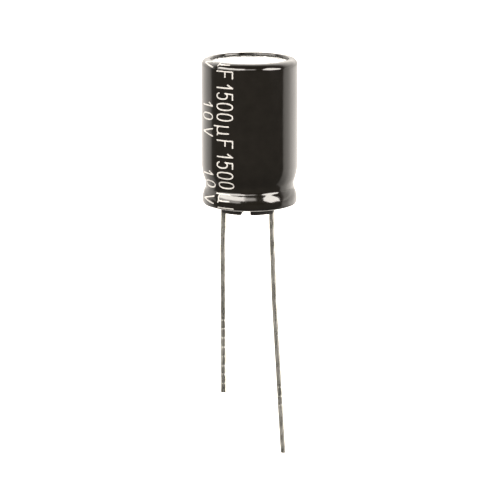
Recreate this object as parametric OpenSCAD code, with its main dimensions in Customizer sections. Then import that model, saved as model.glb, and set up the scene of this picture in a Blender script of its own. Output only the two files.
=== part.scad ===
/* [Can] */
// Outer diameter of the bare aluminium can
can_d = 10; // [9.6:0.1:12]
// Height of the can's rim above the board
can_top = 16.2; // [14:0.1:24]
// Thickness of the drawn can wall
can_wall = 0.3; // [0.2:0.02:0.4]
// Thickness of the can's closed end
end_t = 0.35; // [0.25:0.05:0.5]
// Depth of the end face below the rim
end_recess = 0.18; // [0.05:0.01:0.3]
// Outer radius of the shoulder between side and end
shoulder_r = 0.57; // [0.45:0.01:0.8]
// Width of the flat crest of the rim, inside the shoulder
rim_w = 0.13; // [0.05:0.01:0.3]
// Inner radius of the corner between side and end
corner_r = 0.35; // [0.2:0.01:0.4]

/* [Vent score] */
// How far the lines of the cross-shaped pressure vent end inside the rim
score_in = 0.15; // [0.1:0.05:1.5]
// Width of a vent line
score_w = 0.22; // [0.1:0.02:0.4]
// Depth of a vent line
score_depth = 0.14; // [0.05:0.01:0.2]
// Direction of the first vent line, from the line of the leads
score_turn = 66; // [0:1:90]

/* [Crimp] */
// Height of the curled lower edge above the board
stand_off = 0.57; // [0.3:0.01:0.8]
// Outer bend radius of the curled lower edge
curl_r = 0.65; // [0.5:0.05:0.8]
// How much narrower than the can the curl is, on the radius
curl_in = 0.05; // [0:0.01:0.15]
// Depth of the groove that grips the seal
groove_depth = 0.385; // [0.2:0.005:0.5]
// Height of the middle of the groove above the board
groove_z = 2.83; // [2.6:0.01:3]
// Height of the even bottom of the groove
groove_flat = 0.3; // [0.1:0.02:0.4]
// Height over which the groove runs out into the side above it
groove_run = 2.05; // [1:0.05:2.5]
// Height over which the groove's bottom turns into the side above it
turn_above = 0.4; // [0.2:0.01:0.8]
// Height over which the groove's bottom turns into the side below it
turn_below = 0.33; // [0.2:0.01:0.6]

/* [Sleeve] */
// Thickness of the shrunk film
film_t = 0.14; // [0.08:0.01:0.25]
// Room between the film and the can
film_gap = 0.01; // [0.005:0.005:0.03]
// How far the film turns down inside the rim
film_drop = 0.15; // [0.05:0.01:0.17]
// Angle through which the film follows the curl under the can
film_wrap = 33; // [20:1:80]

/* [Seal] */
// Height of the seal's inner face above the board
seal_top = 4.4; // [3.8:0.05:4.6]
// Room between the curl and the seal's lower part inside it
curl_gap = 0.05; // [0.02:0.01:0.1]
// How far the pads that stand on the board lie inside the seal's lower part
pad_in = 0.05; // [0.02:0.01:0.2]
// Height of the pads below the seal's underside
pad_h = 0.6; // [0.3:0.01:0.7]
// Width of the vent channel between the pads
channel_w = 1; // [0.6:0.02:1.6]
// How far each pad reaches from the can's axis, along the line of the leads
pad_reach = 2.75; // [2.6:0.05:2.85]
// Room between the rubber and what it grips
seat_gap = 0.02; // [0.01:0.005:0.04]

/* [Leads] */
// How far the middle of each lead lies inside the can's side
lead_in = 2.4; // [2.35:0.05:2.7]
// How far the middle of the pair lies from the can's axis
pair_shift = -0.22; // [-0.25:0.01:0.1]
// Diameter of the tinned wire
wire_d = 0.6; // [0.5:0.05:0.7]
// Length of the straight root of each lead below the board's surface
root_l = 1; // [0.8:0.1:3]
// Radius of the gentle bends in the leads
bend_r = 12; // [6:1:30]
// Length of the leaning stretch of the cathode lead
cathode_run = 3; // [2:0.1:12]
// Depth of the cathode lead's tip below the board's surface
cathode_l = 20.5; // [16:0.5:30]
// Outward lean of the cathode lead below its root
cathode_lean = 1.5; // [0.7:0.1:3]
// Lean of the cathode lead's lower part away from the front
cathode_back = 1.2; // [0.8:0.1:3]
// Length of the leaning stretch of the anode lead
anode_run = 8.2; // [4:0.1:12]
// Depth of the anode lead's tip below the board's surface
anode_l = 27; // [18:0.5:36]
// Outward lean of the anode lead below its root
anode_lean = 1.9; // [0.7:0.1:3]
// Outward lean of the anode lead's lower part
anode_lean_low = 3.4; // [1.5:0.1:5]
// Chamfer of the cut ends
tip_chamfer = 0.07; // [0.02:0.01:0.15]

/* [Tabs] */
// Diameter of the weld between wire and tab
weld_d = 1; // [0.95:0.01:1.1]
// Height of the weld's lower end above the board
weld_z = 0.08; // [0.05:0.01:0.1]
// Height of the weld's upper end above the board
weld_top = 1.3; // [1.26:0.01:1.6]
// Diameter of the round shank of a tab
shank_d = 1.5; // [1.3:0.05:1.6]
// How far the shank stands out of the seal's inner face
shank_out = 0.05; // [0.02:0.01:0.1]
// Height over which the shank spreads and thins into the blade
foot_h = 0.44; // [0.3:0.01:0.5]
// How much further than the blade the spread foot reaches
foot_lip = 0.04; // [0.02:0.01:0.06]
// Thickness of a tab's flattened blade
blade_t = 0.2; // [0.15:0.01:0.25]
// Width of a tab's flattened blade
blade_w = 2.2; // [1.6:0.1:2.6]
// How far the blade's upper end stays below the foil's edge
blade_short = 0.6; // [0.3:0.1:2]

/* [Winding] */
// Radius of the hole that the winding spindle leaves
core_r = 0.75; // [0.6:0.05:0.9]
// Thickness of the etched anode foil
anode_t = 0.1; // [0.08:0.01:0.11]
// Thickness of the cathode foil
cathode_t = 0.05; // [0.03:0.01:0.06]
// Thickness of a paper separator
paper_t = 0.05; // [0.03:0.01:0.06]
// Thickness of the fixing tape
tape_t = 0.05; // [0.03:0.01:0.1]
// Room between neighbouring layers
layer_gap = 0.01; // [0.005:0.001:0.012]
// Half turns by which the anode foil stops short of the paper
anode_short = 3; // [2:1:4]
// Half turns by which the cathode foil stops short of the paper
cathode_short = 2; // [1:1:4]
// Room between the seal and the winding
roll_lift = 0.6; // [0.4:0.05:1]
// Least room between the winding and the can's side
roll_side = 0.25; // [0.1:0.05:0.6]
// Room between the winding and the can's end
roll_room = 0.35; // [0.2:0.05:1]
// How far the paper stands past the foils at each end
paper_over = 0.5; // [0.2:0.05:1]
// How far the tape stays short of the paper at each end
tape_short = 1.2; // [0.5:0.1:3]

/* [Hidden] */
$fn = 72;

can_r = can_d / 2;
end_z = can_top - end_recess;
inner_end_z = end_z - end_t;
rim_r = can_r - shoulder_r - rim_w;
curl_z = stand_off + curl_r;
curl_mid_r = can_r - curl_in - curl_r;
wire_r = wire_d / 2;
seal_low_r = curl_mid_r - curl_r - curl_gap;
pad_r = seal_low_r - pad_in;
lead_r = can_r - lead_in;
anode_x = pair_shift + lead_r;
cathode_x = pair_shift - lead_r;
shank_top = seal_top + shank_out;
roll_z = seal_top + roll_lift;
paper_h = inner_end_z - roll_room - roll_z;
foil_h = paper_h - 2 * paper_over;
blade_top = roll_z + paper_over + foil_h - blade_short;
// The layers of one turn, from the inside out: anode foil, paper, cathode foil, paper and then the tape
ANODE = 0;
PAPER_IN = 1;
CATHODE = 2;
PAPER_OUT = 3;
TAPE = 4;
layer_t = [anode_t, paper_t, cathode_t, paper_t, tape_t];
turn_t = anode_t + cathode_t + 2 * paper_t + 4 * layer_gap;
push = blade_t + layer_gap;
// Half turns of the paper: as many whole turns as the can has room for
paper_room = can_r - can_wall - roll_side - tape_t - layer_start(TAPE) - 2 * push - core_r;
paper_halves = 2 * floor(paper_room / turn_t);
// The half turn in which each tab lies: even ones are on the anode's side, odd ones on the cathode's
anode_tab_half = 2 * round(half_at(abs(anode_x), ANODE) / 2);
cathode_tab_half = 2 * round((half_at(abs(cathode_x) - push, CATHODE) - 1) / 2) + 1;

// Points of an arc from angle a0 to a1, both ends included
function arc(x, y, r, a0, a1, steps) =
    [for (i = [0:steps]) let (a = a0 + (a1 - a0) * i / steps) [x + r * cos(a), y + r * sin(a)]];
function reversed(points) = [for (i = [len(points) - 1:-1:0]) points[i]];
// One side of the groove: how far it has come out at each height above the groove's bottom. It is two
// arcs that meet without a corner, and the first one covers the height called turn.
function groove_side(height, depth, turn, steps) = let (
    steepest = 2 * atan(depth / height),
    hollow_r = turn / sin(steepest),
    full_r = (height - turn) / sin(steepest)
) concat(
    [for (i = [0:steps]) let (a = steepest * i / steps) [hollow_r * (1 - cos(a)), hollow_r * sin(a)]],
    [for (i = [steps - 1:-1:0]) let (a = steepest * i / steps)
        [depth - full_r * (1 - cos(a)), height - full_r * sin(a)]]
);

// The can's outside from the shoulder down to the curl, moved outward by d and turned under by wrap
function outline(d, wrap) = let (
    groove_r = can_r - groove_depth,
    flat_top = groove_z + groove_flat / 2,
    flat_low = groove_z - groove_flat / 2,
    steps = 8,
    above = groove_side(groove_run, groove_depth, turn_above, steps / 2),
    below = groove_side(flat_low - curl_z, groove_depth - curl_in, turn_below, steps / 2)
) concat(
    arc(can_r - shoulder_r, can_top - shoulder_r, shoulder_r + d, 90, 0, steps),
    [for (i = [len(above) - 1:-1:0]) [groove_r + above[i][0] + d, flat_top + above[i][1]]],
    [for (i = [0:len(below) - 2]) [groove_r + below[i][0] + d, flat_low - below[i][1]]],
    arc(curl_mid_r, curl_z, curl_r + d, 0, -wrap, steps)
);
// The inside of the can between the end's corner and the curl
function bore_outline(gap) = [for (p = outline(-can_wall - gap, 1)) if (p[1] < can_top - shoulder_r) p];

function layer_start(layer) =
    layer == 0 ? 0 : layer_start(layer - 1) + layer_t[layer - 1] + layer_gap;
// The half turn, not yet rounded, in which a blade outside this layer lies at radius r
function half_at(r, layer) =
    2 * (r - core_r - layer_start(layer) - layer_t[layer] - blade_t / 2) / turn_t - 0.5;
// How far a tab has pushed a layer outward by this half turn
function tab_push(layer, half, tab_layer, tab_half) =
    half >= (layer > tab_layer ? tab_half : tab_half + 2) ? push : 0;
// Radius at which a layer crosses the plane between the two half turns
function crossing(layer, half) = core_r + half * turn_t / 2 + layer_start(layer)
    + tab_push(layer, half, ANODE, anode_tab_half)
    + tab_push(layer, half, CATHODE, cathode_tab_half);
// Inner radius of a layer in one half turn, and how far its centre lies off the can's axis
function half_r(layer, half) = (crossing(layer, half) + crossing(layer, half + 1)) / 2;
function half_shift(layer, half) =
    (half % 2 == 0 ? 1 : -1) * (crossing(layer, half + 1) - crossing(layer, half)) / 2;

module half_ring(r, t, shift, side) {
    reach = can_d;
    intersection() {
        translate([0, shift])
            difference() {
                circle(r = r + t);
                circle(r = r);
            }
        translate([side > 0 ? 0 : -reach, -reach]) square([reach, 2 * reach]);
    }
}

// One continuous strip wound from half turns of growing radius
module wound_strip(layer, first, last, z, h) {
    translate([0, 0, z])
        linear_extrude(height = h)
            union() {
                for (half = [first:last - 1])
                    half_ring(half_r(layer, half), layer_t[layer], half_shift(layer, half),
                        half % 2 == 0 ? 1 : -1);
            }
}

module sleeve() {
    outer = outline(film_gap + film_t, film_wrap);
    inner = outline(film_gap, film_wrap);
    lip_r = rim_r - film_gap;
    lip_z = can_top + film_gap;
    lip_low = lip_z - film_drop;
    color("#2c2924")
        rotate_extrude()
            polygon(concat([[lip_r, lip_low], [lip_r - film_t, lip_low]],
                arc(lip_r, lip_z, film_t, 180, 90, 3), outer, reversed(inner), [[lip_r, lip_z]]));
}

module vent_score() {
    score_r = rim_r - score_in;
    for (turn = [0, 90])
        rotate([0, 0, score_turn + turn])
            translate([-score_r, -score_w / 2, end_z - score_depth])
                cube([2 * score_r, score_w, 2 * score_depth]);
}

module can() {
    curl_turn = 180;
    corner = arc(can_r - can_wall - corner_r, inner_end_z - corner_r,
        corner_r, 0, 90, 6);
    curl_inside = arc(curl_mid_r, curl_z, curl_r - can_wall, -curl_turn, 0, 10);
    color("#d6d6d2")
        difference() {
            rotate_extrude()
                polygon(concat([[0, end_z], [rim_r, end_z], [rim_r, can_top]],
                    outline(0, curl_turn), curl_inside,
                    reversed([for (p = bore_outline(0)) if (p[1] > curl_z) p]),
                    corner, [[0, inner_end_z]]));
            vent_score();
        }
}

module pads() {
    intersection() {
        cylinder(r = pad_r, h = pad_h + seat_gap);
        union() {
            for (x = [-pad_reach, channel_w / 2])
                translate([x, -can_r, 0]) cube([pad_reach - channel_w / 2, can_d, pad_h + seat_gap]);
        }
    }
}

module lead_hole(x) {
    translate([x, 0, -pad_h]) cylinder(d = weld_d + 2 * seat_gap, h = seal_top + pad_h);
    translate([x, 0, weld_top - seat_gap]) cylinder(d = shank_d + 2 * seat_gap, h = seal_top);
}

module rubber_seal() {
    shoulder_z = curl_z + seat_gap;
    grip = [for (p = bore_outline(seat_gap)) if (p[1] > shoulder_z && p[1] < seal_top) p];
    top_r = grip[0][0];
    color("#1d1c1b")
        difference() {
            union() {
                rotate_extrude()
                    polygon(concat([[0, seal_top], [top_r, seal_top]], grip,
                        [[can_r - curl_in - can_wall - seat_gap, shoulder_z],
                        [seal_low_r, shoulder_z], [seal_low_r, pad_h], [0, pad_h]]));
                pads();
            }
            lead_hole(anode_x);
            lead_hole(cathode_x);
        }
}

// A wire that runs down from the origin: each run is a length, then a bend angle and its direction
module wire_run(runs, i = 0) {
    run_l = runs[i][0];
    bend = runs[i][1];
    heading = runs[i][2];
    translate([0, 0, -run_l]) cylinder(r = wire_r, h = run_l);
    if (i == len(runs) - 1)
        translate([0, 0, -run_l - tip_chamfer])
            cylinder(r1 = wire_r - tip_chamfer, r2 = wire_r, h = tip_chamfer);
    else
        translate([0, 0, -run_l])
            rotate([0, 0, heading]) {
                translate([bend_r, 0, 0])
                    rotate([90, 180, 0])
                        rotate_extrude(angle = bend)
                            translate([bend_r, 0])
                                circle(r = wire_r);
                translate([bend_r * (1 - cos(bend)), 0, -bend_r * sin(bend)])
                    rotate([0, -bend, 0])
                        rotate([0, 0, -heading])
                            wire_run(runs, i + 1);
            }
}

module lead(x, runs) {
    color("#8f8578")
        translate([x, 0, 0]) {
            translate([0, 0, weld_z]) cylinder(d = weld_d, h = weld_top - weld_z);
            translate([0, 0, weld_z]) wire_run(runs);
        }
}

module anode_lead() {
    root = root_l + weld_z;
    more = anode_lean_low - anode_lean;
    low_z = root_l + anode_run * cos(anode_lean) + bend_r * sin(anode_lean_low);
    last = (anode_l - tip_chamfer - low_z) / cos(anode_lean_low);
    lead(anode_x, [[root, anode_lean, 0], [anode_run, more, 0], [last, 0, 0]]);
}

module cathode_lead() {
    root = root_l + weld_z;
    bend = sqrt(pow(cathode_lean, 2) + pow(cathode_back, 2));
    low_z = root_l + cathode_run * cos(cathode_lean) + bend_r * (sin(cathode_lean) + sin(bend));
    last = (cathode_l - tip_chamfer - low_z) / cos(cathode_back);
    lead(cathode_x, [[root, cathode_lean, 180],
        [cathode_run, bend, atan2(cathode_back, cathode_lean)], [last, 0, 0]]);
}

// A tab's blade lies in the gap that the winding keeps outside one half turn of its foil
module blade(layer, half, side, h) {
    linear_extrude(height = h)
        intersection() {
            half_ring(half_r(layer, half) + layer_t[layer] + layer_gap / 2, blade_t,
                half_shift(layer, half), side);
            translate([-can_r, -blade_w / 2]) square([can_d, blade_w]);
        }
}

module tab(x, layer, half, side) {
    inner = half_r(layer, half) + layer_t[layer] + layer_gap / 2;
    reach = blade_w / 2 + abs(half_shift(layer, half));
    low = sqrt(pow(inner, 2) - pow(reach, 2)) - foot_lip;
    high = inner + blade_t + foot_lip;
    top = side > 0 ? [low, high] : [-high, -low];
    foot_z = shank_top + foot_h;
    color("#c9c9c6") {
        translate([x, 0, weld_top]) cylinder(d = shank_d, h = shank_top - weld_top);
        intersection() {
            translate([x, 0, shank_top]) cylinder(r1 = shank_d / 2, r2 = reach + foot_lip, h = foot_h);
            rotate([90, 0, 0])
                linear_extrude(height = can_d, center = true)
                    polygon([[x - shank_d, shank_top], [x + shank_d, shank_top],
                        [top[1], foot_z], [top[0], foot_z]]);
        }
        translate([0, 0, foot_z - foot_lip])
            blade(layer, half, side, blade_top - foot_z + foot_lip);
    }
}

module anode_tab() {
    tab(anode_x, ANODE, anode_tab_half, 1);
}

module cathode_tab() {
    tab(cathode_x, CATHODE, cathode_tab_half, -1);
}

module anode_foil() {
    color("#a9abab")
        wound_strip(ANODE, 1, paper_halves - anode_short, roll_z + paper_over, foil_h);
}

module cathode_foil() {
    color("#c3c5c5")
        wound_strip(CATHODE, 1, paper_halves - cathode_short, roll_z + paper_over, foil_h);
}

module separator_inner() {
    color("#e6dcc3") wound_strip(PAPER_IN, 0, paper_halves, roll_z, paper_h);
}

module separator_outer() {
    color("#dccfb0") wound_strip(PAPER_OUT, 0, paper_halves, roll_z, paper_h);
}

module fixing_tape() {
    color("#c9b27a")
        wound_strip(TAPE, paper_halves - 2, paper_halves, roll_z + tape_short,
            paper_h - 2 * tape_short);
}

sleeve();
can();
rubber_seal();
anode_lead();
cathode_lead();
anode_tab();
cathode_tab();
anode_foil();
cathode_foil();
separator_inner();
separator_outer();
fixing_tape();
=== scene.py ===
"""The looks of a radial electrolytic capacitor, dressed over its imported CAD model."""

import math

import bmesh
import bpy
import numpy as np
from mathutils import Matrix, Vector


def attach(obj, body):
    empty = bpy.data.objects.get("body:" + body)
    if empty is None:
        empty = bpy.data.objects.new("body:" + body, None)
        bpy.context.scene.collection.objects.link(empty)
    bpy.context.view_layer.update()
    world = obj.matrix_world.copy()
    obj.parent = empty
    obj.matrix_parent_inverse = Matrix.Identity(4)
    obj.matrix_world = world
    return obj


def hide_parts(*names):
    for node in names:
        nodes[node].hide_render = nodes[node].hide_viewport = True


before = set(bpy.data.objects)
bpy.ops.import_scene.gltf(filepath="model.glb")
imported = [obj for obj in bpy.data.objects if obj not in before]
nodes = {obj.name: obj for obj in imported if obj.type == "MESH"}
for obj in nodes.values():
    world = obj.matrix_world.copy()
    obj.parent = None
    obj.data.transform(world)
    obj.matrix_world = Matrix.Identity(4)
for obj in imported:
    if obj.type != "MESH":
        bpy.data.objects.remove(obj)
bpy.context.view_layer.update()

# Sizes of the part, in millimetres, as its source has them
MM = 0.001
CAN_R = 5.0
CAN_TOP = 16.2
CAN_WALL = 0.3
END_T = 0.35
END_Z = CAN_TOP - 0.18
SHOULDER_R = 0.57
RIM_R = CAN_R - SHOULDER_R - 0.13
CORNER_R = 0.35
CURL_R = 0.65
CURL_IN = 0.05
CURL_Z = 0.57 + CURL_R
CURL_MID_R = CAN_R - CURL_IN - CURL_R
GROOVE_DEPTH = 0.385
GROOVE_TOP = 2.98
GROOVE_LOW = 2.68
GROOVE_RUN = 2.05
TURN_ABOVE = 0.4
TURN_BELOW = 0.33
SCORE_IN = 0.15
SCORE_W = 0.22
SCORE_DEPTH = 0.14
SCORE_TURN = 66
FILM_T = 0.14
FILM_GAP = 0.01
FILM_DROP = 0.15
FILM_WRAP = 33
FILM_OUT = FILM_GAP + FILM_T
FILM_R = CAN_R + FILM_OUT
LIP_R = RIM_R - FILM_GAP
LIP_Z = CAN_TOP + FILM_GAP
LIP_LOW = LIP_Z - FILM_DROP
WIRE_R = 0.3
WELD_R = 0.5
WELD_Z = 0.08
WELD_TOP = 1.3
LEAD_R = 2.6
PAIR_SHIFT = -0.22
ROOT_L = 1
BEND_R = 12
TIP_CHAMFER = 0.07
ANODE_LEAN, ANODE_LEAN_LOW, ANODE_RUN, ANODE_L = 1.9, 3.4, 8.2, 27
CATHODE_LEAN, CATHODE_BACK, CATHODE_RUN, CATHODE_L = 1.5, 1.2, 3, 20.5

# Details that only the looks have, in millimetres
END_DISH = 0.012
END_SOFT = 0.05
SEAL_SOFT = 0.1
BROAD_DENT = 0.006
FINE_DENT = 0.0022
DENT_FADE = 0.4
MARK_HALF_L = 0.11
GRIP_DEPTH = 0.03
SCUFF_DEPTH = 0.012

# How finely round shapes are divided
FILM_SEGMENTS = 320
CAN_SEGMENTS = 384
END_RINGS = 90
WIRE_SIDES = 32
WIRE_STEP = 0.08
BEND_STEPS = 6
FINE_STEPS = 28

# The camera's place in the photograph, and the direction in which it looks
CAMERA_TURN = 7
CAMERA_AWAY = 296
CAMERA_HEIGHT = 59.1
AIM_HEIGHT = -4.5
AIM_RIGHT = 0.043
LENS = 202.5
TO_CAMERA = Vector((math.sin(math.radians(CAMERA_TURN)), -math.cos(math.radians(CAMERA_TURN)), 0))
TO_RIGHT = Vector((-TO_CAMERA.y, TO_CAMERA.x, 0))


def seen(degrees):
    """The angle round the can's axis of a point seen this far to the right of the middle."""
    return math.radians(degrees + CAMERA_TURN - 90)


# Shapes


def arc(x, y, r, start, end, steps):
    angles = np.radians(np.linspace(start, end, steps + 1))
    return [(x + r * math.cos(a), y + r * math.sin(a)) for a in angles]


def ease(t):
    return (1 - math.cos(math.pi * t)) / 2


def groove_side(height, depth, turn, steps):
    """How far one side of the groove has come out at each height above the groove's bottom.

    It is two arcs that meet without a corner, and the first one covers the height called turn.
    """
    steepest = math.degrees(2 * math.atan(depth / height))
    hollow_r = turn / math.sin(math.radians(steepest))
    full_r = (height - turn) / math.sin(math.radians(steepest))
    hollow = arc(hollow_r, 0, hollow_r, 180, 180 - steepest, steps)
    return hollow + arc(depth - full_r, height, full_r, -steepest, 0, steps)[1:]


def outline(d, wrap, fine):
    """The can's outside from the shoulder down to the curl, moved outward by d and turned under by wrap."""
    groove_r = CAN_R - GROOVE_DEPTH + d
    shoulder = arc(CAN_R - SHOULDER_R, CAN_TOP - SHOULDER_R, SHOULDER_R + d, 90, 0, fine)
    straight_top, straight_low = CAN_TOP - SHOULDER_R, GROOVE_TOP + GROOVE_RUN
    straight = [
        (CAN_R + d, straight_top + (straight_low - straight_top) * i / (2 * fine))
        for i in range(1, 2 * fine)
    ]
    above = groove_side(GROOVE_RUN, GROOVE_DEPTH, TURN_ABOVE, fine // 2)
    below = groove_side(GROOVE_LOW - CURL_Z, GROOVE_DEPTH - CURL_IN, TURN_BELOW, fine // 2)[:-1]
    groove = [(groove_r + r, GROOVE_TOP + z) for r, z in above[::-1]]
    groove += [(groove_r + r, GROOVE_LOW - z) for r, z in below]
    return shoulder + straight + groove + arc(CURL_MID_R, CURL_Z, CURL_R + d, 0, -wrap, fine)


def revolve(profile, segments):
    """Vertices and faces of a closed profile of (r, z) turned round the can's axis."""
    verts, rings, faces = [], [], []
    turns = np.linspace(0, 2 * np.pi, segments, endpoint=False)
    for r, z in profile:
        if r < 1e-6:
            rings.append([len(verts)] * segments)
            verts.append((0, 0, z))
        else:
            rings.append(range(len(verts), len(verts) + segments))
            verts += [(r * math.cos(a), r * math.sin(a), z) for a in turns]
    for low, high in zip(rings, rings[1:] + rings[:1]):
        for j in range(segments):
            k = (j + 1) % segments
            face = list(dict.fromkeys((low[j], low[k], high[k], high[j])))
            if len(face) > 2:
                faces.append(face)
    return verts, faces


def piece(name, verts, faces, material, replaces=()):
    """A mesh in millimetres as a finished piece that rides on the part."""
    mesh = bpy.data.meshes.new(name)
    mesh.from_pydata([tuple(c * MM for c in v) for v in verts], [], [list(f) for f in faces])
    obj = bpy.data.objects.new(name, mesh)
    bpy.context.scene.collection.objects.link(obj)
    bm = bmesh.new()
    bm.from_mesh(mesh)
    bmesh.ops.recalc_face_normals(bm, faces=bm.faces)
    for face in bm.faces:
        face.smooth = True
    bm.to_mesh(mesh)
    bm.free()
    mesh.materials.append(material)
    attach(obj, "root")
    if replaces:
        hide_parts(*replaces)
    return obj


def waves(seed, count, turns, per_mm):
    """A smooth random function of the angle round the axis and the height, from about -1 to 1."""
    rng = np.random.default_rng(seed)
    rows = [
        (rng.integers(turns[0], turns[1]), rng.uniform(*per_mm), *rng.uniform(0, 2 * np.pi, 2))
        for _ in range(count)
    ]

    def value(angle, z):
        total = sum(np.sin(n * angle + p) * np.sin(k * z + q) for n, k, p, q in rows)
        return total / math.sqrt(count)

    return value


# Materials


class Nodes:
    """Builds one procedural material: its shader's sockets by name, and noise that drives them."""

    def __init__(self, name, **values):
        self.material = bpy.data.materials.new(name)
        self.material.use_nodes = True
        self.tree = self.material.node_tree
        self.shader = self.tree.nodes["Principled BSDF"]
        self.coordinates = self.tree.nodes.new("ShaderNodeTexCoord")
        self.bumps = None
        for key, value in values.items():
            socket = self.shader.inputs[key.replace("_", " ")]
            socket.default_value = (*value, 1) if isinstance(value, tuple) else value

    def noise(self, size, detail=2.0, stretch=(1, 1, 1), rough=0.5):
        """Noise whose features are about size millimetres across."""
        mapping = self.tree.nodes.new("ShaderNodeMapping")
        mapping.inputs["Scale"].default_value = [1 / (s * size * MM) for s in stretch]
        noise = self.tree.nodes.new("ShaderNodeTexNoise")
        noise.inputs["Scale"].default_value = 1
        noise.inputs["Detail"].default_value = detail
        noise.inputs["Roughness"].default_value = rough
        self.tree.links.new(self.coordinates.outputs["Object"], mapping.inputs["Vector"])
        self.tree.links.new(mapping.outputs["Vector"], noise.inputs["Vector"])
        return noise.outputs["Fac"]

    def ramp(self, fac, low, high, start=0.3, end=0.7):
        """A colour or a number that runs from low to high as fac runs from start to end."""
        ramp = self.tree.nodes.new("ShaderNodeValToRGB")
        for element, place, value in zip(ramp.color_ramp.elements, (start, end), (low, high)):
            element.position = place
            element.color = (*value, 1) if isinstance(value, tuple) else (value,) * 3 + (1,)
        self.tree.links.new(fac, ramp.inputs["Fac"])
        return ramp.outputs["Color"]

    def drive(self, socket, output):
        self.tree.links.new(output, self.shader.inputs[socket])

    def bump(self, height, distance, strength=1.0):
        """Adds relief of this many millimetres to what the shader already has."""
        bump = self.tree.nodes.new("ShaderNodeBump")
        bump.inputs["Distance"].default_value = distance * MM
        bump.inputs["Strength"].default_value = strength
        self.tree.links.new(height, bump.inputs["Height"])
        if self.bumps:
            self.tree.links.new(self.bumps, bump.inputs["Normal"])
        self.bumps = bump.outputs["Normal"]
        self.tree.links.new(self.bumps, self.shader.inputs["Normal"])


def film_material():
    m = Nodes("shrunk_film", Base_Color=(0.005, 0.0043, 0.0033), Roughness=0.1, IOR=1.5)
    m.drive("Base Color", m.ramp(m.noise(0.9, 3), (0.0042, 0.0036, 0.0027), (0.0058, 0.005, 0.0039)))
    m.drive("Roughness", m.ramp(m.noise(1.6, 3, (1, 1, 2)), 0.07, 0.14))
    m.bump(m.noise(0.35, 2), 0.0012)
    m.bump(m.noise(0.05, 1), 0.00025)
    return m.material


def ink_material():
    m = Nodes("printed_ink", Base_Color=(0.38, 0.36, 0.34), Roughness=0.42)
    m.drive("Base Color", m.ramp(m.noise(0.25, 3), (0.28, 0.275, 0.265), (0.4, 0.39, 0.375)))
    m.drive("Roughness", m.ramp(m.noise(0.4, 2), 0.36, 0.5))
    m.bump(m.noise(0.08, 2), 0.002)
    return m.material


def aluminium_material():
    m = Nodes("drawn_aluminium", Base_Color=(0.86, 0.86, 0.85), Metallic=1.0, Roughness=0.24)
    m.drive("Base Color", m.ramp(m.noise(0.7, 3), (0.8, 0.8, 0.79), (0.9, 0.9, 0.89)))
    m.drive("Roughness", m.ramp(m.noise(0.3, 3, (1, 1, 4)), 0.18, 0.32))
    m.bump(m.noise(0.05, 3, (1, 1, 6)), 0.0015)
    return m.material


def wire_material():
    m = Nodes("tinned_wire", Base_Color=(0.5, 0.495, 0.46), Metallic=1.0, Roughness=0.26)
    m.drive("Base Color", m.ramp(m.noise(0.5, 3, (1, 1, 3)), (0.38, 0.378, 0.35), (0.66, 0.655, 0.615)))
    m.drive("Roughness", m.ramp(m.noise(0.2, 3, (1, 1, 8)), 0.2, 0.36))
    m.bump(m.noise(0.06, 2, (1, 1, 20)), 0.002)
    m.bump(m.noise(0.12, 2), 0.0015)
    return m.material


def rubber_material():
    m = Nodes("moulded_rubber", Base_Color=(0.006, 0.005, 0.004), Roughness=0.65, Specular_IOR_Level=0.3)
    m.drive("Base Color", m.ramp(m.noise(0.3, 3), (0.004, 0.0032, 0.0024), (0.008, 0.0066, 0.005)))
    m.drive("Roughness", m.ramp(m.noise(0.5, 2), 0.5, 0.75))
    m.bump(m.noise(0.07, 3), 0.004)
    return m.material


def inner_material(name, low, high, metallic, roughness, grain, relief):
    """A piece of the winding: its colour and relief both follow a grain this many millimetres across."""
    m = Nodes(name, Base_Color=low, Metallic=metallic, Roughness=roughness)
    m.drive("Base Color", m.ramp(m.noise(grain, 4), low, high))
    m.drive("Roughness", m.ramp(m.noise(grain * 3, 2), roughness * 0.8, min(1.0, roughness * 1.2)))
    m.bump(m.noise(grain / 2, 3), relief)
    return m.material


FILM = film_material()
INK = ink_material()
ALUMINIUM = aluminium_material()
WIRE = wire_material()
RUBBER = rubber_material()


# The shrunk film


class Skin:
    """The film's outside: places on it by angle and by the length run down from the lip."""

    def __init__(self):
        lip = [(LIP_R - FILM_T, z) for z in np.linspace(LIP_LOW + FILM_T / 2, LIP_Z, 4)[:-1]]
        lip += arc(LIP_R, LIP_Z, FILM_T, 180, 90, 8)
        self.profile = np.array(lip + outline(FILM_OUT, FILM_WRAP, FINE_STEPS))
        self.side = len(lip)
        steps = np.diff(self.profile, axis=0)
        self.run = np.concatenate([[0], np.cumsum(np.hypot(steps[:, 0], steps[:, 1]))])
        tangent = np.gradient(self.profile, self.run, axis=0)
        self.normal = np.stack([-tangent[:, 1], tangent[:, 0]], 1)
        self.crest = self.run[self.side]
        self.length = self.run[-1]
        self.broad = waves(3, 14, (2, 9), (0.3, 1.4))
        self.fine = waves(5, 30, (9, 40), (1.0, 6.0))

    def at_height(self, z):
        """The length run from the lip down to this height on the film's side."""
        return float(np.interp(-z, -self.profile[self.side:, 1], self.run[self.side:]))

    def place(self, angle, run, lift=0.0):
        """Points at these angles and lengths, lifted off the film by this much."""
        angle, run = np.broadcast_arrays(np.asarray(angle, float), np.asarray(run, float))
        r, z = (np.interp(run, self.run, self.profile[:, k]) for k in (0, 1))
        nr, nz = (np.interp(run, self.run, self.normal[:, k]) for k in (0, 1))
        tight = np.exp(-(((z - 1.3) / 1.6) ** 2)) + 0.6 * np.exp(-(((z - 16) / 0.8) ** 2))
        dent = (
            BROAD_DENT * (self.broad(angle, z) - 1.5)
            + FINE_DENT * (0.35 + tight) * (self.fine(angle, z) - 1.5)
        )
        # The film's ends stay round, so the relief fades out there
        dent = dent * np.clip(np.minimum(run, self.length - run) / DENT_FADE, 0, 1)
        r, z = r + nr * (lift + dent), z + nz * (lift + dent)
        return np.stack([r * np.cos(angle), r * np.sin(angle), z], -1)


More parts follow.
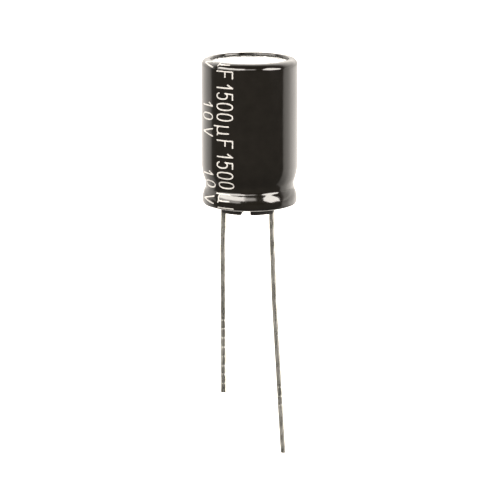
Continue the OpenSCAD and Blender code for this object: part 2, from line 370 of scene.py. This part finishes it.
skin = Skin()


def make_film():
    """The film as a closed shell: its uneven outside, its round ends and its inside."""
    half = FILM_T / 2
    lip = arc(LIP_R - half, LIP_LOW + half, half, 0, -180, 8)[:-1]
    inside = [(LIP_R, LIP_Z)] + outline(FILM_GAP, FILM_WRAP, 12)
    end = math.radians(-FILM_WRAP)
    middle = CURL_R + FILM_GAP + half
    low_end = arc(
        CURL_MID_R + middle * math.cos(end), CURL_Z + middle * math.sin(end),
        half, -FILM_WRAP, -FILM_WRAP - 180, 8,
    )[1:-1]
    outside = [tuple(p) for p in skin.profile]
    profile = lip + outside + low_end + inside[::-1]
    verts, faces = revolve(profile, FILM_SEGMENTS)
    angles = np.linspace(0, 2 * np.pi, FILM_SEGMENTS, endpoint=False)
    for i, run in enumerate(skin.run):
        first = (len(lip) + i) * FILM_SEGMENTS
        verts[first:first + FILM_SEGMENTS] = [tuple(p) for p in skin.place(angles, run)]
    return piece("sleeve_film", verts, faces, FILM, ["sleeve"])


# The print

CAP_H = 2.05
STROKE = 0.145
HALF = STROKE / 2
INK_LIFT = 0.012
INK_SINK = -0.006
EDGE_CLEAR = 0.06
GLYPH_CELL = 0.036
STRIPE_CELL = 0.1
ROW_PERIOD = 7.35
MAIN_BASE = -42.4
SECOND_BASE = -71.5
MAIN_START = 14.17
SECOND_START = 12.1
STRIPE_AT = -113
STRIPE_HALF_W = 1.45
MINUS_L = 1.5
MINUS_HALF_H = 0.19
MINUS_STEP = 3.1
MINUS_START = 1.6


def bow(x, y, rx, ry, start, end, steps=14, power=2.0):
    """Points on an ellipse, squarer as power grows past 2."""
    angles = np.radians(np.linspace(start, end, steps + 1))

    def square(c):
        return math.copysign(abs(c) ** (2 / power), c)

    return [(x + rx * square(math.cos(a)), y + ry * square(math.sin(a))) for a in angles]


# The middle lines of each character's strokes, with x along the text and y up from its baseline
TOP = CAP_H - HALF
GLYPHS = {
    "0": [bow(0.42, CAP_H / 2, 0.42 - HALF, TOP - CAP_H / 2, 0, 360, 32, 2.5)],
    "1": [[(0.06, 1.42), (0.38, TOP), (0.38, HALF)]],
    "5": [
        [(0.78, TOP), (0.2, TOP), (0.14, 1.12)]
        + bow(0.42, 0.75, 0.33, 0.62, 148, -10, 12, 2.3)
        + bow(0.42, 0.7, 0.33, 0.7 - HALF, 0, -150, 12, 2.3)
    ],
    "u": [
        [(HALF, 1.5), (HALF, -0.35)],
        [(HALF, 0.55)] + bow(0.46, 0.5, 0.46 - HALF, 0.5 - HALF, 180, 360, 14, 2.4) + [(0.8, 1.5)],
        [(0.8, 0.6), (0.8, 0.16), (1.0, HALF)],
    ],
    "F": [[(0.78, TOP), (HALF, TOP), (HALF, HALF)], [(HALF, 1.1), (0.64, 1.1)]],
    "V": [[(HALF, TOP), (0.5, HALF), (0.94 - HALF, TOP)]],
}


def stroke_distance(x, y, lines):
    """How far each point lies outside strokes along these lines; below zero inside them."""
    best = np.full(x.shape, 1e9)
    for line in lines:
        for (x0, y0), (x1, y1) in zip(line, line[1:]):
            dx, dy = x1 - x0, y1 - y0
            t = np.clip(((x - x0) * dx + (y - y0) * dy) / (dx * dx + dy * dy + 1e-12), 0, 1)
            best = np.minimum(best, np.hypot(x - x0 - t * dx, y - y0 - t * dy))
    return best - HALF


def filled(distance, low, high, step):
    """Points and faces of the flat area where distance(x, y) is below zero."""
    xs = np.arange(low[0], high[0] + step, step)
    ys = np.arange(low[1], high[1] + step, step)
    grid = distance(*np.meshgrid(xs, ys, indexing="ij"))
    points, index, faces = [], {}, []

    def vertex(key, x, y):
        if key not in index:
            index[key] = len(points)
            points.append((x, y))
        return index[key]

    inside = grid < 0
    some = inside[:-1, :-1] | inside[1:, :-1] | inside[:-1, 1:] | inside[1:, 1:]
    for i, j in np.argwhere(some):
        corners = [(i, j), (i + 1, j), (i + 1, j + 1), (i, j + 1)]
        face = []
        for a, b in zip(corners, corners[1:] + corners[:1]):
            if inside[a]:
                face.append(vertex(a, xs[a[0]], ys[a[1]]))
            if inside[a] != inside[b]:
                t = grid[a] / (grid[a] - grid[b])
                x = xs[a[0]] + t * (xs[b[0]] - xs[a[0]])
                y = ys[a[1]] + t * (ys[b[1]] - ys[a[1]])
                face.append(vertex((min(a, b), max(a, b)), x, y))
        faces.append(face)
    return points, faces


def printed(areas):
    """Closed thin slabs of ink on the film.

    Each area is its flat points, its faces, and the angle and the length run at its origin.
    """
    verts, faces = [], []
    for points, flat_faces, angle, run in areas:
        if not flat_faces:
            continue
        flat = np.array(points)
        base = len(verts)
        for lift in (INK_LIFT, INK_SINK):
            verts += [tuple(p) for p in skin.place(angle + flat[:, 1] / FILM_R, run + flat[:, 0], lift)]
        count = len(points)
        edges = {}
        for face in flat_faces:
            faces.append([base + v for v in face])
            faces.append([base + count + v for v in reversed(face)])
            for a, b in zip(face, face[1:] + face[:1]):
                edges[(a, b)] = True
        for a, b in edges:
            if (b, a) not in edges:
                faces.append([base + b, base + a, base + count + a, base + count + b])
    return verts, faces


def text_row(text, places, period, first_run, angle):
    """A row of characters down the can, again every period, each cut off where the film ends."""
    areas = []
    for repeat in (-1, 0, 1, 2):
        for character, place in zip(text, places):
            run = first_run + repeat * period + place

            def distance(x, y, lines=GLYPHS[character], run=run):
                ends = np.maximum(skin.crest - run - x, run + x - skin.length + EDGE_CLEAR)
                return np.maximum(stroke_distance(x, y, lines), ends)

            points, faces = filled(distance, (-0.1, -0.6), (1.25, CAP_H + 0.1), GLYPH_CELL)
            areas.append((points, faces, angle, run))
    return areas


def make_print():
    """A plain rating in two rows, as such a part carries it, and the stripe on its negative side."""
    main = text_row(
        "1500uF", (0, 0.82, 1.96, 3.08, 4.42, 5.92), ROW_PERIOD,
        skin.at_height(MAIN_START), seen(MAIN_BASE),
    )
    second = text_row(
        "10V", (0, 1.12, 2.72), ROW_PERIOD, skin.at_height(SECOND_START), seen(SECOND_BASE),
    )
    verts, faces = printed(main + second)
    piece("sleeve_print", verts, faces, INK)

    def stripe(x, y):
        ends = np.maximum(skin.crest - x, x - skin.length + EDGE_CLEAR)
        band = np.maximum(abs(y) - STRIPE_HALF_W, ends)
        along = (x - MINUS_START) % MINUS_STEP - MINUS_STEP / 2
        minus = np.maximum(abs(along) - MINUS_HALF_H, abs(y) - MINUS_L / 2)
        return np.maximum(band, -minus)

    reach = STRIPE_HALF_W + STRIPE_CELL
    points, flat = filled(stripe, (0, -reach), (skin.length, reach), STRIPE_CELL)
    verts, faces = printed([(points, flat, seen(STRIPE_AT), 0.0)])
    piece("sleeve_stripe", verts, faces, INK)


# The can


def make_can():
    """The can with its softly scored end, its rolled groove and its curled lower edge."""
    end = [((RIM_R - END_SOFT) * i / END_RINGS, END_Z) for i in range(END_RINGS + 1)]
    rim = arc(RIM_R - END_SOFT, END_Z + END_SOFT, END_SOFT, -90, 0, 4)[1:]
    rim += arc(RIM_R + END_SOFT, CAN_TOP - END_SOFT, END_SOFT, 180, 90, 4)
    curl = arc(CURL_MID_R, CURL_Z, CURL_R, 0, -180, 24)
    curl_end = arc(CURL_MID_R - CURL_R + CAN_WALL / 2, CURL_Z, CAN_WALL / 2, 180, 0, 6)[1:-1]
    curl_inside = arc(CURL_MID_R, CURL_Z, CURL_R - CAN_WALL, -180, 0, 10)
    bore_top = CAN_TOP - SHOULDER_R
    bore = [p for p in outline(-CAN_WALL, 1, 10) if CURL_Z < p[1] < bore_top][::-1]
    floor_z = END_Z - END_T
    corner = arc(CAN_R - CAN_WALL - CORNER_R, floor_z - CORNER_R, CORNER_R, 0, 90, 6)
    profile = end + rim + outline(0, 0, 12)[:-13] + curl + curl_end + curl_inside + bore + corner
    verts, faces = revolve(profile + [(0, floor_z)], CAN_SEGMENTS)
    arms = [math.radians(SCORE_TURN + 90 * k) for k in range(4)]
    reach = RIM_R - SCORE_IN
    for i, (x, y, z) in enumerate(verts[:1 + END_RINGS * CAN_SEGMENTS]):
        r, a = math.hypot(x, y), math.atan2(y, x)
        dish = END_DISH * math.cos(math.pi * min(r / RIM_R, 1) / 2)
        depth = 0
        for arm in arms:
            along, across = r * math.cos(a - arm), abs(r * math.sin(a - arm))
            if -SCORE_W < along < reach + SCORE_W / 2:
                wall = min(1, max(0, 1.25 - across / (SCORE_W / 2)))
                finish = min(1, max(0, (reach - along) / (SCORE_W / 2) + 0.5))
                depth = max(depth, SCORE_DEPTH * ease(wall) * ease(finish))
        verts[i] = (x, y, z + dish - depth)
    return piece("can_shell", verts, faces, ALUMINIUM, ["can"])


# The leads


def lead_path(x, runs):
    """Points down the middle of a lead from its weld.

    Each run is a length, a bend at its end and the direction that the bend leads in.
    """
    at, basis = Vector((x, 0, WELD_Z)), Matrix.Identity(3)
    points = []
    for length, bend, heading in runs:
        down = basis @ Vector((0, 0, -1))
        count = max(1, round(length / WIRE_STEP))
        points += [at + down * length * i / count for i in range(count)]
        at = at + down * length
        swing = Matrix.Rotation(math.radians(heading), 3, "Z")
        if bend:
            turns = [math.radians(bend) * i / BEND_STEPS for i in range(BEND_STEPS + 1)]
            curve = [
                at + basis @ swing @ Vector((BEND_R * (1 - math.cos(a)), 0, -BEND_R * math.sin(a)))
                for a in turns
            ]
            points += curve[:-1]
            at = curve[-1]
            basis = basis @ swing @ Matrix.Rotation(-turns[-1], 3, "Y") @ swing.transposed()
    points.append(at)
    return points


def make_lead(name, node, x, runs, marks):
    """A lead with its weld, its cut tip and the shallow dents that a gripping tool leaves across it."""
    path = lead_path(x, runs)
    weld = [
        (WELD_TOP, WELD_R - 0.04), (WELD_TOP - 0.03, WELD_R), (WELD_Z + 0.06, WELD_R),
        (WELD_Z, WELD_R - 0.08), (WELD_Z - 0.002, WIRE_R + 0.02), (WELD_Z - 0.03, WIRE_R),
    ]
    sections = [(Vector((x, 0, z)), r) for z, r in weld]
    sections += [(p, WIRE_R) for p in path if p.z < WELD_Z - 0.05]
    tip, before = path[-1], path[-2]
    down = (tip - before).normalized()
    for turn in (30, 60, 90):
        a = math.radians(turn)
        sections.append((tip + down * TIP_CHAMFER * math.sin(a), WIRE_R - TIP_CHAMFER * (1 - math.cos(a))))
    verts = []
    front = math.atan2(TO_CAMERA.y, TO_CAMERA.x)
    for centre, radius in sections:
        for j in range(WIRE_SIDES):
            a = 2 * math.pi * j / WIRE_SIDES
            dent = 0.0
            facing = max(0.0, math.cos(a - front))
            for mark, depth in marks:
                across = math.exp(-(((centre.z - mark) / MARK_HALF_L) ** 2))
                dent = max(dent, depth * facing ** 0.5 * across)
            r = radius - dent
            verts.append((centre.x + r * math.cos(a), centre.y + r * math.sin(a), centre.z))
    faces = []
    for i in range(len(sections) - 1):
        low, high = i * WIRE_SIDES, (i + 1) * WIRE_SIDES
        for j in range(WIRE_SIDES):
            k = (j + 1) % WIRE_SIDES
            faces.append([low + j, low + k, high + k, high + j])
    for ring, order in ((0, -1), (len(sections) - 1, 1)):
        centre = len(verts)
        verts.append(tuple(sections[ring][0]))
        for j in range(WIRE_SIDES):
            k = (j + 1) % WIRE_SIDES
            faces.append([centre, ring * WIRE_SIDES + j, ring * WIRE_SIDES + k][::order])
    return piece(name, verts, faces, WIRE, [node])


def cosine(degrees):
    return math.cos(math.radians(degrees))


def bend_drop(degrees):
    """The height that a bend of this many degrees takes up."""
    return BEND_R * math.sin(math.radians(degrees))


def make_leads():
    """Both leads, each with a straight root, a leaning stretch and a lower part with its own lean."""
    low = ROOT_L + ANODE_RUN * cosine(ANODE_LEAN) + bend_drop(ANODE_LEAN_LOW)
    last = (ANODE_L - TIP_CHAMFER - low) / cosine(ANODE_LEAN_LOW)
    make_lead(
        "anode_wire", "anode_lead", PAIR_SHIFT + LEAD_R,
        [(ROOT_L + WELD_Z, ANODE_LEAN, 0), (ANODE_RUN, ANODE_LEAN_LOW - ANODE_LEAN, 0), (last, 0, 0)],
        [(z, SCUFF_DEPTH) for z in (-12.2, -17.4)] + [(z, GRIP_DEPTH) for z in (-19.5, -20.5, -21.5)],
    )
    bend = math.hypot(CATHODE_LEAN, CATHODE_BACK)
    heading = math.degrees(math.atan2(CATHODE_BACK, CATHODE_LEAN))
    low = ROOT_L + CATHODE_RUN * cosine(CATHODE_LEAN) + bend_drop(CATHODE_LEAN) + bend_drop(bend)
    last = (CATHODE_L - TIP_CHAMFER - low) / cosine(CATHODE_BACK)
    make_lead(
        "cathode_wire", "cathode_lead", PAIR_SHIFT - LEAD_R,
        [(ROOT_L + WELD_Z, CATHODE_LEAN, 180), (CATHODE_RUN, bend, heading), (last, 0, 0)],
        [(z, GRIP_DEPTH) for z in (-12.22, -13.2, -14.2, -15.25, -16.3, -17.35, -18.3, -19.35)],
    )


# The rubber seal


def make_seal():
    """The seal as it is in the frame, with its edges rounded as moulded rubber has them."""
    mesh = nodes["rubber_seal"].data.copy()
    mesh.name = "seal_rubber"
    obj = bpy.data.objects.new("seal_rubber", mesh)
    bpy.context.scene.collection.objects.link(obj)
    bm = bmesh.new()
    bm.from_mesh(mesh)
    bmesh.ops.remove_doubles(bm, verts=bm.verts, dist=0.002 * MM)
    bmesh.ops.dissolve_limit(bm, angle_limit=math.radians(0.5), verts=bm.verts, edges=bm.edges)
    sharp = [e for e in bm.edges if len(e.link_faces) == 2 and e.calc_face_angle(0) > math.radians(40)]
    bmesh.ops.bevel(
        bm, geom=sharp, offset=SEAL_SOFT * MM, segments=3, profile=0.5, affect="EDGES", clamp_overlap=True,
    )
    bmesh.ops.triangulate(bm, faces=[f for f in bm.faces if len(f.verts) > 4])
    for face in bm.faces:
        face.smooth = True
    bm.to_mesh(mesh)
    bm.free()
    mesh.set_sharp_from_angle(angle=math.radians(35))
    mesh.materials.clear()
    mesh.materials.append(RUBBER)
    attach(obj, "root")
    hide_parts("rubber_seal")
    return obj


# The pieces inside keep their CAD shape


def dress_inside():
    tab = inner_material("tab_metal", (0.72, 0.72, 0.7), (0.85, 0.85, 0.84), 1.0, 0.35, 0.2, 0.003)
    etched = inner_material("etched_foil", (0.3, 0.31, 0.31), (0.42, 0.43, 0.43), 0.8, 0.7, 0.05, 0.004)
    plain = inner_material("plain_foil", (0.55, 0.56, 0.56), (0.68, 0.69, 0.69), 1.0, 0.4, 0.1, 0.002)
    paper = inner_material("kraft_paper", (0.62, 0.52, 0.36), (0.78, 0.69, 0.52), 0.0, 0.9, 0.08, 0.004)
    tape = inner_material("fixing_tape", (0.5, 0.36, 0.14), (0.62, 0.47, 0.22), 0.0, 0.3, 0.4, 0.002)
    finishes = {
        "anode_tab": tab, "cathode_tab": tab, "anode_foil": etched, "cathode_foil": plain,
        "separator_inner": paper, "separator_outer": paper, "fixing_tape": tape,
    }
    for name, material in finishes.items():
        materials = nodes[name].data.materials
        materials.clear()
        materials.append(material)


# Light, floor and camera

BACKDROP = 1.1
WARMTH = (1.06, 1.0, 0.93)
FLOOR_HALF = 6.0
FLOOR_LOW = -0.2


class Sky:
    """The world's light as a sum of soft fields. Angles are in degrees, and brightness is radiance."""

    def __init__(self):
        world = bpy.data.worlds.new("studio")
        bpy.context.scene.world = world
        world.use_nodes = True
        self.tree = world.node_tree
        self.tree.nodes.clear()
        place = self.tree.nodes.new("ShaderNodeTexCoord").outputs["Generated"]
        right, front = self.along(place, TO_RIGHT), self.along(place, TO_CAMERA)
        up = self.along(place, Vector((0, 0, 1)))
        away = self.math("MULTIPLY", front, -1.0)
        self.round = self.degrees("ARCTAN2", right, front)
        self.round_away = self.degrees("ARCTAN2", right, away)
        self.level = self.degrees("ARCSINE", up)
        self.over = self.degrees("ARCTAN2", up, away)

    def along(self, vector, axis):
        dot = self.tree.nodes.new("ShaderNodeVectorMath")
        dot.operation = "DOT_PRODUCT"
        dot.inputs[1].default_value = axis
        self.tree.links.new(vector, dot.inputs[0])
        return dot.outputs["Value"]

    def math(self, operation, *values, clamp=False):
        node = self.tree.nodes.new("ShaderNodeMath")
        node.operation, node.use_clamp = operation, clamp
        for value, socket in zip(values, node.inputs):
            if isinstance(value, (int, float)):
                socket.default_value = value
            else:
                self.tree.links.new(value, socket)
        return node.outputs[0]

    def degrees(self, operation, *values):
        return self.math("DEGREES", self.math(operation, *values))

    def curve(self, angle, stops):
        """Brightness that follows these stops of angle and level."""
        low, high = stops[0][0], stops[-1][0]
        most = max(level for _, level in stops)
        share = self.tree.nodes.new("ShaderNodeMapRange")
        share.inputs["From Min"].default_value = low
        share.inputs["From Max"].default_value = high
        self.tree.links.new(angle, share.inputs["Value"])
        ramp = self.tree.nodes.new("ShaderNodeValToRGB")
        while len(ramp.color_ramp.elements) < len(stops):
            ramp.color_ramp.elements.new(0.5)
        for element, (at, level) in zip(ramp.color_ramp.elements, stops):
            element.position = (at - low) / (high - low)
            element.color = (level / most,) * 3 + (1,)
        self.tree.links.new(share.outputs["Result"], ramp.inputs["Fac"])
        return self.math("MULTIPLY", ramp.outputs["Color"], most)

    def window(self, angle, low, high, soft):
        """One between two angles and zero outside them, with edges this many degrees wide."""
        rise = self.math("MULTIPLY_ADD", angle, 1 / soft, 0.5 - low / soft, clamp=True)
        fall = self.math("MULTIPLY_ADD", angle, -1 / soft, 0.5 + high / soft, clamp=True)
        return self.math("MULTIPLY", rise, fall)

    def panel(self, sides, levels, radiance, soft=2.0, peak=0.0, fall=(0, 0), rise=0.0):
        """A lit panel between two sides and two levels.

        Its top falls to the left and right of the peak, and its foot rises to the left of it.
        """
        off = self.math("SUBTRACT", self.round, peak)
        left, right = (self.math("MULTIPLY", off, slope) for slope in (-fall[0], fall[1]))
        top = self.math("ADD", self.level, self.math("MAXIMUM", left, right))
        foot = self.math("ADD", self.level, self.math("MINIMUM", self.math("MULTIPLY", off, rise), 0.0))
        shape = self.math("MULTIPLY", self.window(self.round, *sides, soft), self.window(top, *levels, soft))
        shape = self.math("MULTIPLY", shape, self.window(foot, *levels, soft))
        return self.math("MULTIPLY", shape, radiance)


def make_world():
    """Pale all round to the camera. On the object, light comes from behind, above and two panels in front."""
    sky = Sky()
    # Behind the object, by degrees to the right of straight away from the camera
    behind = sky.curve(sky.round_away, [
        (-180, 0.02), (-79, 0.02), (-75, 1.0), (-70, 1.5), (-51, 1.95), (-21, 1.8), (-8, 1.15), (3, 0.85),
        (15, 1.4), (32, 2.2), (46, 2.7), (62, 2.9), (74, 2.04), (86, 1.74), (92, 1.2), (94, 0.02),
        (180, 0.02),
    ])
    # Its share by level: it fades out upwards, and keeps a little far below
    behind_share = sky.curve(sky.level, [
        (-90, 0.2), (-35, 0.35), (-14, 1), (-9, 1), (2, 0.58), (12, 0.25), (22, 0.06), (32, 0),
    ])
    # Above the object, by degrees up from the far horizon and over towards the camera
    above = sky.curve(sky.over, [
        (-90, 0.15), (-20, 0.25), (-8, 0.35), (2, 1.4), (8, 3.7), (15, 6.2), (22, 5.2), (28, 4.5), (40, 4.1),
        (55, 3.6), (66, 2.3), (75, 1.0), (85, 0.3), (100, 0.02), (180, 0.02),
    ])
    # Its share by level, which keeps the low parts at the sides dark
    above_share = sky.curve(sky.level, [
        (-90, 1), (-8, 1), (2, 0.4), (8, 0.3), (15, 0.4), (28, 0.8), (40, 1), (90, 1),
    ])
    fields = [
        sky.math("MULTIPLY", behind, behind_share),
        sky.math("MULTIPLY", above, above_share),
        sky.panel((-84, -12), (15.5, 35), 19),
        sky.panel((-82, -22), (4, 15.5), 6),
        sky.panel((-12, 15), (17, 33), 7, soft=6),
        sky.panel((33, 79), (4, 41), 19, peak=52, fall=(0.75, 0.9), rise=0.55),
    ]
    total = fields[0]
    for field in fields[1:]:
        total = sky.math("ADD", total, field)
    new, link = sky.tree.nodes.new, sky.tree.links.new
    lit, plain = new("ShaderNodeBackground"), new("ShaderNodeBackground")
    warm = new("ShaderNodeVectorMath")
    warm.operation = "MULTIPLY"
    warm.inputs[1].default_value = WARMTH
    link(total, warm.inputs[0])
    link(warm.outputs[0], lit.inputs["Color"])
    plain.inputs["Color"].default_value = (1, 1, 1, 1)
    plain.inputs["Strength"].default_value = BACKDROP
    ray, mix, out = new("ShaderNodeLightPath"), new("ShaderNodeMixShader"), new("ShaderNodeOutputWorld")
    link(ray.outputs["Is Camera Ray"], mix.inputs["Fac"])
    link(lit.outputs[0], mix.inputs[1])
    link(plain.outputs[0], mix.inputs[2])
    link(mix.outputs[0], out.inputs["Surface"])


def make_floor():
    """A pale floor far below, which only the camera sees."""
    mesh = bpy.data.meshes.new("floor")
    corners = [(x * FLOOR_HALF, y * FLOOR_HALF, FLOOR_LOW) for x, y in ((-1, -1), (1, -1), (1, 1), (-1, 1))]
    mesh.from_pydata(corners, [], [(0, 1, 2, 3)])
    floor = bpy.data.objects.new("floor", mesh)
    bpy.context.scene.collection.objects.link(floor)
    m = Nodes("pale_floor", Base_Color=(0.9, 0.9, 0.9), Roughness=0.9)
    m.drive("Base Color", m.ramp(m.noise(400, 2), (0.93, 0.93, 0.93), (0.97, 0.97, 0.97)))
    mesh.materials.append(m.material)
    floor.visible_glossy = floor.visible_diffuse = False


def make_camera():
    """The photograph's camera."""
    data = bpy.data.cameras.new("camera")
    data.lens, data.sensor_width = LENS, 36
    data.clip_start, data.clip_end = 0.01, 20
    camera = bpy.data.objects.new("camera", data)
    bpy.context.scene.collection.objects.link(camera)
    camera.location = (TO_CAMERA * CAMERA_AWAY + Vector((0, 0, CAMERA_HEIGHT))) * MM
    aim = (TO_RIGHT * AIM_RIGHT + Vector((0, 0, AIM_HEIGHT))) * MM
    camera.rotation_euler = (aim - camera.location).to_track_quat("-Z", "Y").to_euler()
    bpy.context.scene.camera = camera


make_camera()
make_film()
make_print()
make_can()
make_leads()
make_seal()
dress_inside()
make_world()
make_floor()
bpy.context.scene.view_settings.view_transform = "Standard"
